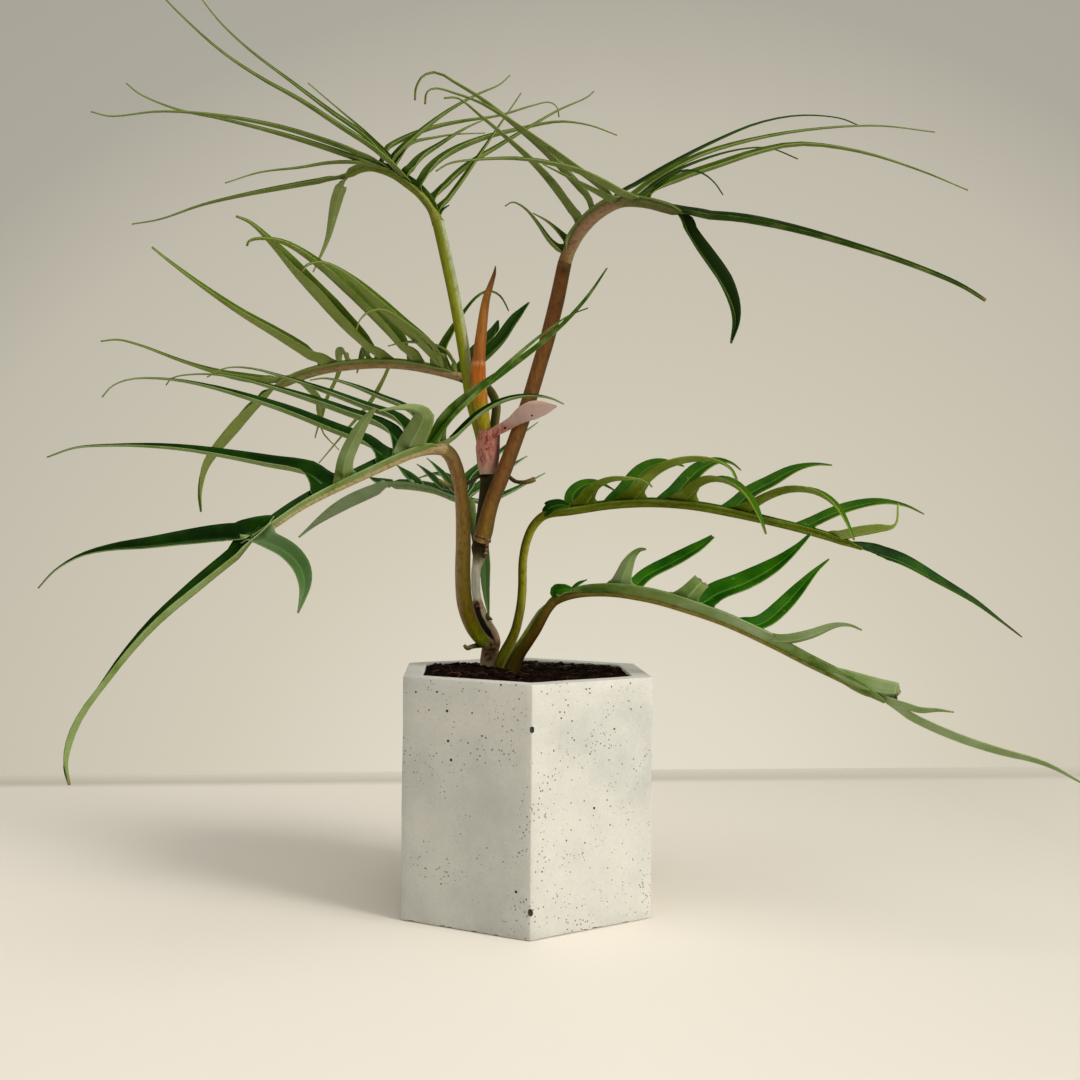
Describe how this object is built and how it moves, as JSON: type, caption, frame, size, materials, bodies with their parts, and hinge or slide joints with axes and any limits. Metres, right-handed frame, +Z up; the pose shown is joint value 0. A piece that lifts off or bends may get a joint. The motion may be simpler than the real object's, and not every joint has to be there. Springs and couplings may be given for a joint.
{
  "type": "potted fishbone philodendron",
  "caption": "Climbing aroid with deeply cut, fishbone-like leaves on long petioles, growing from a short stem in a hexagonal concrete pot of bark compost.",
  "frame": {"origin": "centre of the pot's flat base, on the surface that it stands on", "axes": "+Z up, +X to the right and -Y to the front of the plant as pictured; one corner of the pot faces the front, turned 3.4 degrees to the right"},
  "size_m": [0.4418, 0.2347, 0.4021],
  "materials": {
    "concrete": "matt cast concrete with pinholes",
    "compost": "rough bark compost",
    "stem_skin": "matt ringed stem",
    "new_leaf": "smooth, slightly glossy",
    "dry_sheath": "papery, translucent",
    "petiole_pale": "smooth",
    "petiole_red": "smooth",
    "petiole_olive": "smooth",
    "petiole_brown": "smooth",
    "petiole_yellow": "smooth",
    "leaf_light": "matt to satin",
    "leaf_mid": "matt to satin",
    "leaf_dark": "satin above, matt below",
    "leaf_rich": "satin above, matt below"
  },
  "bodies": {
    "root": {"pot": "concrete", "potting_soil": "compost", "stem": "stem_skin", "new_leaf_spike": "new_leaf", "dried_sheath": "dry_sheath", "leaf_upper_left_petiole": "petiole_pale", "leaf_upper_left_blade": "leaf_light", "leaf_upper_right_petiole": "petiole_red", "leaf_upper_right_blade": "leaf_light", "leaf_middle_left_petiole": "petiole_olive", "leaf_middle_left_blade": "leaf_mid", "leaf_front_left_petiole": "petiole_brown", "leaf_front_left_blade": "leaf_dark", "leaf_middle_right_petiole": "petiole_yellow", "leaf_middle_right_blade": "leaf_rich", "leaf_lower_right_petiole": "petiole_olive", "leaf_lower_right_blade": "leaf_rich", "leaf_back_petiole": "petiole_olive", "leaf_back_blade": "leaf_mid"}
  },
  "joints": []
}
